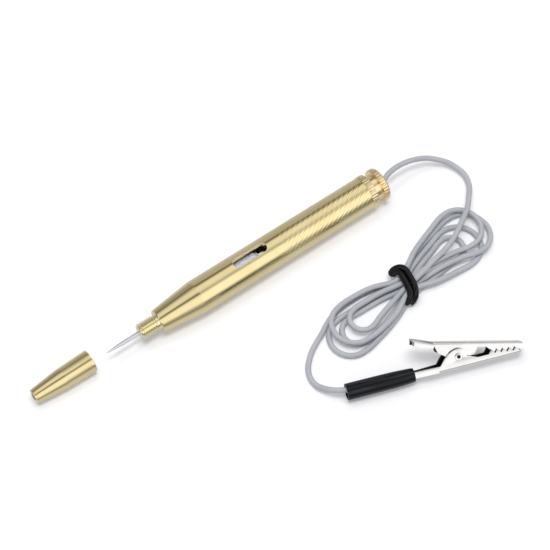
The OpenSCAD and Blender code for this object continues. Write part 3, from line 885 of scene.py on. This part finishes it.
class TESTER_OT_barrel(bpy.types.Operator):
    """Turns the plain part of the barrel and cuts its window slot"""

    bl_idname = "tester.barrel"
    bl_label = "Barrel"

    def execute(self, context):
        shoulder = STUB_FRONT + sizes().stub_length
        end = (SEAM - shoulder - sizes().grip_length) / MM
        nose_r, full_r = 4.25, BARREL_R / MM
        barrel = lathe("barrel_body", [
            (0, 0), (0, nose_r - 0.22), (0.2, nose_r - 0.05), (0.32, nose_r),
            (15.5, 6.09), (16.0, 6.135), (16.6, full_r), (24, full_r), (end, full_r),
        ], sides=128)
        put(barrel, on_pen(shoulder))
        modifier(barrel, "SOLIDIFY", thickness=sizes().wall, offset=-1.0)
        self.cut_window(barrel, shoulder + WINDOW_START)
        smooth(barrel, 30)
        finish_piece(barrel, "tester", "brass", ("barrel",))
        self.roll_rim(shoulder + WINDOW_START)
        return {"FINISHED"}

    def cut_window(self, barrel, start):
        """Mills the slot with a cutter that has round ends."""
        half = sizes().window_width / 2
        deselect()
        bpy.ops.mesh.primitive_cylinder_add(
            vertices=48, radius=half, depth=BARREL_R, location=(start + half, 0, AXIS_Z + BARREL_R))
        cutter = name_active("window_cutter")
        apply_place()
        edit(cutter)
        choose(lambda v: v.co.x > start + half + SLACK)
        move(x=sizes().window_length - 2 * half)
        bpy.ops.object.mode_set(mode="OBJECT")
        cut(barrel, cutter, "DIFFERENCE")
        edit(barrel)
        close_mesh(outward=False)

    def roll_rim(self, start):
        """Burnishes the slot's edge to a bright round rim."""
        half = sizes().window_width / 2
        ridge = BARREL_R - RIM_SUNK * sizes().rim
        points = []
        for middle, turn in ((start + sizes().window_length - half, -90), (start + half, 90)):
            for angle in range(turn, turn + 181, 20):
                x = middle + half * math.cos(math.radians(angle))
                y = half * math.sin(math.radians(angle))
                points.append(Vector((x, y, AXIS_Z + math.sqrt(ridge ** 2 - y ** 2))))
            points.append(Vector((start + sizes().window_length / 2, *points[-1].yz)))
        rim = laid_tube("window_rim", points, 2 * sizes().rim, resolution=3, closed=True)
        finish_piece(rim, "tester", "cut_brass")


class TESTER_OT_grip(bpy.types.Operator):
    """Turns the grip and rolls its diagonal knurl"""

    bl_idname = "tester.grip"
    bl_label = "Grip"

    def execute(self, context):
        long = sizes().grip_length / MM
        count = sizes().knurl_count
        r = BARREL_R / MM
        # Rings along it, the plain band at each end, the wall, and the steps round each groove
        rings, plain, thick, steps = 50, 0.5, 1.2, 8
        step = (long - 2 * plain) / rings
        outer = [(plain + step * i, r) for i in range(rings + 1)]
        grip = lathe("grip", [
            (0, r - thick), (0, r), *outer, (long, r), (long, r - thick), (0, r - thick),
        ], sides=count * steps)
        edit(grip)
        low, high = (plain + step / 2) * MM, (long - plain - step / 2) * MM
        depth = sizes().knurl_depth
        sink_grooves(count, steps, depth, depth / 2, BARREL_R, lambda v: (
            low < v.co.x < high and radius(v) > BARREL_R - SLACK))
        twist = -math.tan(sizes().knurl_angle) * sizes().grip_length / BARREL_R
        modifier(grip, "SIMPLE_DEFORM", deform_method="TWIST", deform_axis="X", angle=twist)
        put(grip, on_pen(SEAM - sizes().grip_length))
        smooth(grip, 25)
        finish_piece(grip, "tester", "brass")
        return {"FINISHED"}


THREAD_R = 3.0
RUN_IN = 1.36  # turns that are cut off, so that the thread starts cleanly


class TESTER_OT_thread(bpy.types.Operator):
    """Turns the tip in front of the shoulder and cuts its thread"""

    bl_idname = "tester.thread"
    bl_label = "Threaded tip"

    def execute(self, context):
        pitch = sizes().thread_pitch
        top = THREAD_R * MM
        root = top - sizes().thread_depth
        thread_length = sizes().stub_length - sizes().relief_length
        turns = math.ceil(thread_length / pitch) + 2
        groove = self.groove_line(pitch, top, root)
        modifier(
            groove, "SCREW", axis="X", angle=2 * math.pi, screw_offset=pitch, iterations=turns,
            steps=40, render_steps=40, use_merge_vertices=False,
        )
        edit(groove)
        merge(0.005 * MM)  # each turn ends where the next one starts
        start = RUN_IN * pitch
        for place, clear in ((start, "clear_inner"), (start + thread_length, "clear_outer")):
            bpy.ops.mesh.select_all(action="SELECT")
            bpy.ops.mesh.bisect(
                plane_co=(place, 0, 0), plane_no=(1, 0, 0), use_fill=True, threshold=TINY,
                **{clear: True})
        close_mesh()
        put(groove, Matrix.Translation((-start, 0, 0)))
        end = thread_length / MM + 0.01
        blank = lathe("thread_blank", [
            (-0.01, 0), (-0.01, 2.45), (0.55, 3.02), (thread_length / MM - 0.3, 3.02), (end, 2.7),
            (end, 0),
        ], sides=48)
        cut(groove, blank, "INTERSECT")
        put(groove, on_pen(STUB_FRONT))
        smooth(groove, 28)
        finish_piece(groove, "tester", "cut_brass")
        turned("tip_relief", [
            (-0.2, 2.2), (0, 2.62), (0.1, 2.75), (0.85, 2.75), (1.0, 2.9), (1.2, 2.9), (1.2, 2.2),
            (-0.2, 2.2),
        ], 64, on_pen(STUB_FRONT + thread_length), 30, "cut_brass")
        return {"FINISHED"}

    def groove_line(self, pitch, top, root):
        """One pitch of the thread's profile as a line along X."""
        deselect()
        bpy.ops.mesh.primitive_plane_add(size=pitch, location=(0, top, 0))
        groove = name_active("tip_thread")
        apply_place()
        edit(groove)
        bpy.ops.mesh.select_all(action="SELECT")
        bpy.ops.mesh.merge(type="CENTER")
        x, r = 0.0, top
        for share, next_r in ((0.14, top), (0.48, root), (0.62, root), (1.0, top)):
            bpy.ops.mesh.extrude_region_move(
                TRANSFORM_OT_translate={"value": (share * pitch - x, next_r - r, 0)})
            x, r = share * pitch, next_r
        bpy.ops.object.mode_set(mode="OBJECT")
        return groove


class TESTER_OT_needle(bpy.types.Operator):
    """Grinds the probe needle"""

    bl_idname = "tester.needle"
    bl_label = "Needle"

    def execute(self, context):
        tip_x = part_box("probe_needle")[0].x / MM
        stub = STUB_FRONT / MM
        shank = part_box("probe_needle")[1].x / MM
        turned("needle", [
            (tip_x, 0), (tip_x + 0.06, 0.06), (tip_x + 0.2, 0.12), (tip_x + 1.6, 0.28),
            (tip_x + 3.2, 0.46), (tip_x + 5.0, 0.63), (tip_x + 6.2, 0.71), (tip_x + 6.8, 0.72),
            (stub - 0.1, 0.72), (stub + 0.1, 0.72), (stub + 0.1, 0.98), (shank, 0.98), (shank, 0),
        ], 40, on_pen(0), 30, "steel", ("probe_needle",))
        return {"FINISHED"}


CAP_LENGTH = 23.1
CAP_MOUTH_R = 4.1
CAP_TILT = math.radians(1.4203)  # it lies on its taper


class TESTER_OT_tip_cap(bpy.types.Operator):
    """Turns the tip cap that lies in front of the needle"""

    bl_idname = "tester.tip_cap"
    bl_label = "Tip cap"

    def execute(self, context):
        # Fine ribs for the fingers, on the wide end's taper
        ribs = []
        for i in range(17):
            x = 12.2 + i * 0.6
            r = 3.8 + (x - 11) / (CAP_LENGTH - 11) * 0.3
            ribs += [(x, r), (x + 0.12, r - 0.06), (x + 0.24, r - 0.06), (x + 0.36, r)]
        # The inner thread's turns, from the mouth in
        bore = []
        for i in range(7):
            x = CAP_LENGTH - 0.5 - i
            bore += [(x, 2.55), (x - 0.35, 2.95), (x - 0.55, 2.95), (x - 0.9, 2.55)]
        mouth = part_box("tip_cap")[1].x
        middle_y = sum(corner.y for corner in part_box("tip_cap")) / 2
        mouth_z = CAP_MOUTH_R * MM * math.cos(CAP_TILT)
        place = (
            Matrix.Translation((mouth - CAP_MOUTH_R * MM * math.sin(CAP_TILT), middle_y, mouth_z))
            @ Matrix.Rotation(-CAP_TILT, 4, "Y")
            @ Matrix.Translation((-CAP_LENGTH * MM, 0, 0))
        )
        turned("tip_cap_body", [
            (0.0, 1.3), (0.0, 2.3), (0.08, 2.5), (0.3, 2.67), (0.66, 2.72), (0.74, 2.62),
            (0.86, 2.62), (0.94, 2.75), (10.6, 3.76), (11, 3.795), (11.5, 3.81), *ribs,
            (22.85, 4.09), (23.0, 4.06), (CAP_LENGTH, 3.95), (CAP_LENGTH, 3.1),
            (CAP_LENGTH - 0.3, 2.75), *bore, (15.6, 2.5), (15.6, 1.5), (1.5, 1.5), (1.4, 1.3),
            (0.0, 1.3),
        ], 96, place, 24, "cap_brass", ("tip_cap",))
        return {"FINISHED"}


class TESTER_OT_tail_cap(bpy.types.Operator):
    """Turns the tail cap, mills its flutes and fits the bush"""

    bl_idname = "tester.tail_cap"
    bl_label = "Tail cap"

    def execute(self, context):
        steps, flutes, neck = 6, 36, 4.85
        r = RING_R / MM
        cap = lathe("tail_cap_body", [
            (-2, 2.12), (-2, 4.4), (0, 4.45), (0, r - 0.25), (0.06, r - 0.1), (0.25, r), (2.35, r),
            (2.54, r - 0.1), (2.6, r - 0.25), (2.6, neck + 0.12), (2.72, neck), (5.08, neck),
            (5.2, neck + 0.12), (5.2, r - 0.25), (5.26, r - 0.1), (5.45, r), (7.0, r),
            (7.25, r - 0.1), (7.45, r - 0.25), (7.7, r - 0.6), (7.8, r - 0.9), (7.8, 2.5),
            (7.65, 2.12), (-2, 2.12),
        ], sides=flutes * steps)
        edit(cap)
        sink_grooves(flutes, steps, 0.12, 0.08, r, lambda v: radius(v) > (r - 0.3) * MM)
        put(cap, on_pen(SEAM))
        smooth(cap, 28)
        finish_piece(cap, "tester", "tail_brass", ("tail_cap",))
        turned("bush", [
            (-4, 1.0), (-4, 2.1), (7.65, 2.1), (7.75, 2.0), (7.8, 1.8), (7.8, 1.25), (7.7, 1.08),
            (7.5, 1.0), (-4, 1.0),
        ], 64, on_pen(SEAM), 30, "bush", ("tail_bush",))
        return {"FINISHED"}


# Parts behind the window


class TESTER_OT_lamp(bpy.types.Operator):
    """Blows the lamp's glass and finishes what lies inside the barrel"""

    bl_idname = "tester.lamp"
    bl_label = "Lamp"

    def execute(self, context):
        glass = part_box("lamp_glass")
        r = (glass[1].z - glass[0].z) / 2 / MM
        neck, wall = 2.4, 0.5
        half = [
            (0, 0), (0.05, neck - 0.3), (0.3, neck), (3.5, neck), (4.0, neck + 0.3), (4.6, r - 0.2),
            (5.1, r),
        ]
        bulb = lathe("lamp_bulb", [
            *((glass[0].x / MM + x, half_r) for x, half_r in half),
            *((glass[1].x / MM - x, half_r) for x, half_r in reversed(half)),
        ], sides=64)
        modifier(bulb, "SOLIDIFY", thickness=wall * MM, offset=-1.0)
        put(bulb, on_pen(0))
        smooth(bulb, 40)
        finish_piece(bulb, "tester", "glass", ("lamp_glass",))
        for node_name, slot, material in (
            ("lamp_front_cap", "nickel", "nickel"), ("lamp_rear_cap", "nickel", "nickel"),
            ("lamp_filament", "steel", "steel"), ("insulating_liner", "liner_plastic", "liner"),
            ("contact_spring", "steel", "steel"), ("contact_plug", "brass", "brass"),
            ("plug_conductor", "copper", "copper"),
        ):
            coat(frame["nodes"][node_name], material)
        return {"FINISHED"}


# Tie

# Middle line of the tie in the hank's frame and in millimetres: from its foot on the near side over
# the hank, folded back on the far side, and over the hank again to the foot
TIE_LINE = [
    (-4.3, -5.3, 2.2), (-3.3, -5.5, 2.9), (-2.3, -5.2, 4.0), (-1.5, -4.4, 4.9), (-0.85, -3.2, 5.2),
    (-0.2, -1.5, 5.2), (0.5, 0.4, 5.2), (1.0, 2.2, 5.2), (1.3, 3.9, 5.1), (0.9, 5.0, 4.7),
    (-0.1, 5.5, 3.9), (-0.1, 6.4, 3.4), (1.0, 6.6, 3.9), (2.4, 6.0, 4.6), (3.4, 4.8, 5.1),
    (3.65, 3.2, 5.25), (3.3, 1.5, 5.25), (2.7, -0.5, 5.25), (2.0, -2.4, 5.25), (1.2, -4.0, 5.0),
    (0.3, -5.3, 4.2), (-0.4, -5.9, 3.0), (-1.4, -6.1, 1.9), (-2.9, -6.0, 1.3),
]


class TESTER_OT_tie(bpy.types.Operator):
    """Wraps the black tie round the hank"""

    bl_idname = "tester.tie"
    bl_label = "Tie"

    def execute(self, context):
        points = [(HANK_PLACE @ Vector(p)) * MM for p in TIE_LINE]
        tie = laid_tube("tie", points, sizes().tie_diameter, resolution=6)
        finish_piece(tie, "tester", "tie", ("hank_tie",))
        return {"FINISHED"}


# Clip

CLIP_YAW = math.radians(-20)
CLIP_ROLL = math.radians(34)


def clip_place():
    """The clip's own frame, from the hinge of its upper jaw."""
    return (
        Matrix.Translation(Vector(frame["joints"][0]["pos_m"]))
        @ Matrix.Rotation(CLIP_YAW, 4, "Z")
        @ Matrix.Rotation(CLIP_ROLL, 4, "X")
    )


class TESTER_OT_sleeve(bpy.types.Operator):
    """Pulls the PVC sleeve over the clip's tang"""

    bl_idname = "tester.sleeve"
    bl_label = "Sleeve"

    def execute(self, context):
        low, high, tang_y = -39.7, -15.7, -2.85
        place = clip_place() @ Matrix.Translation((0, tang_y * MM, 0))
        turned("sleeve", [
            (low, 2.3), (low, 2.8), (low + 0.1, 2.9), (low + 6, 2.9), (low + 12, 2.88),
            (low + 17, 2.82), (low + 21, 2.66), (high - 0.7, 2.5), (high - 0.2, 2.42), (high, 2.3),
            (high, 1.95), (low + 18, 2.2), (low + 10, 2.3), (low, 2.3),
        ], 64, place, 30, "sleeve", ("clip_sleeve",))
        return {"FINISHED"}


class TESTER_OT_clip(bpy.types.Operator):
    """Finishes the clip's jaws with broken edges, and its eyelet, spring and conductor"""

    bl_idname = "tester.clip"
    bl_label = "Clip"

    def execute(self, context):
        for node_name, body in (("lower_jaw", "tester"), ("upper_jaw", "jaw")):
            jaw = self.copied(node_name, "sheet")
            modifier(
                jaw, "BEVEL", width=0.09 * MM, segments=2, limit_method="ANGLE",
                angle_limit=math.radians(35))
            smooth(jaw, 40)
            finish_piece(jaw, body, "nickel", (node_name,))
            # The inner faces of the side plates and of the web between them get painted shade,
            # standing in for the shadow inside the channel
            inward = -1 if body == "jaw" else 1
            self.paint_shade_where(jaw, lambda middle, normal: (
                normal.z * middle.z < 0 and abs(normal.z) > 0.7
                or abs(normal.z) < 0.3 and normal.y * inward > 0.3
            ))
        eyelet = self.copied("pivot_eyelet", "tube")
        smooth(eyelet, 40)
        finish_piece(eyelet, "tester", "nickel", ("pivot_eyelet",))
        # The eyelet's bore gets painted shade
        self.paint_shade_where(
            eyelet, lambda middle, normal: middle.xy.normalized().dot(normal.xy) < -0.5)
        self.spring()
        coat(frame["nodes"]["clip_conductor"], "copper")
        return {"FINISHED"}

    def spring(self):
        """The torsion spring, copied with its flat faces whole and given a steel finish."""
        wire = self.copied("clip_spring", "wire")
        smooth(wire, 40)
        coat(wire, "steel")
        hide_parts("clip_spring")
        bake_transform(wire)

    def paint_shade_where(self, piece, test):
        """Gives the faces that pass the test in the clip's own frame painted shade: a dark nickel
        finish.
        """
        piece.data.materials.append(finish("dull_nickel"))
        straight = clip_place().inverted()
        turn = straight.to_3x3()
        for face in piece.data.polygons:
            if test(straight @ face.center, turn @ face.normal):
                face.material_index = 1

    def copied(self, node_name, kind):
        """A merged copy of a solid, with its flat faces whole again."""
        mesh = frame["nodes"][node_name].data.copy()
        piece = bpy.data.objects.new(f"{node_name}_{kind}", mesh)
        bpy.context.scene.collection.objects.link(piece)
        edit(piece)
        merge()
        bpy.ops.mesh.dissolve_limited(angle_limit=math.radians(1))
        bpy.ops.object.mode_set(mode="OBJECT")
        return piece


class TESTER_OT_declare_lead(bpy.types.Operator):
    """Leaves the scene as it is."""

    bl_idname = "tester.declare_lead"
    bl_label = "Lead's length"

    def execute(self, context):
        return {"FINISHED"}


STEPS = (
    TESTER_OT_stage, TESTER_OT_lead, TESTER_OT_barrel, TESTER_OT_grip, TESTER_OT_thread,
    TESTER_OT_needle, TESTER_OT_tip_cap, TESTER_OT_tail_cap, TESTER_OT_lamp, TESTER_OT_tie,
    TESTER_OT_sleeve, TESTER_OT_clip, TESTER_OT_declare_lead,
)


class TESTER_PT_pieces(bpy.types.Panel):
    """Lists the tester's sizes, colours and pieces"""

    bl_label = "Pen circuit tester"
    bl_idname = "TESTER_PT_pieces"
    bl_space_type = "VIEW_3D"
    bl_region_type = "UI"
    bl_category = "Tester"

    def draw(self, context):
        for group in (context.scene.tester_sizes, context.scene.tester_colours):
            for key in group.bl_rna.properties.keys():
                if key not in ("rna_type", "name"):
                    self.layout.prop(group, key)
        for step in STEPS:
            self.layout.operator(step.bl_idname)


CLASSES = (TesterSizes, TesterColours, *STEPS, TESTER_PT_pieces)


def register():
    for item in CLASSES:
        bpy.utils.register_class(item)
    bpy.types.Scene.tester_sizes = bpy.props.PointerProperty(type=TesterSizes)
    bpy.types.Scene.tester_colours = bpy.props.PointerProperty(type=TesterColours)


def unregister():
    del bpy.types.Scene.tester_colours
    del bpy.types.Scene.tester_sizes
    for item in reversed(CLASSES):
        bpy.utils.unregister_class(item)


def main():
    register()
    for step in STEPS:
        group, name = step.bl_idname.split(".")
        getattr(getattr(bpy.ops, group), name)()
    deselect()


if __name__ == "__main__":
    main()
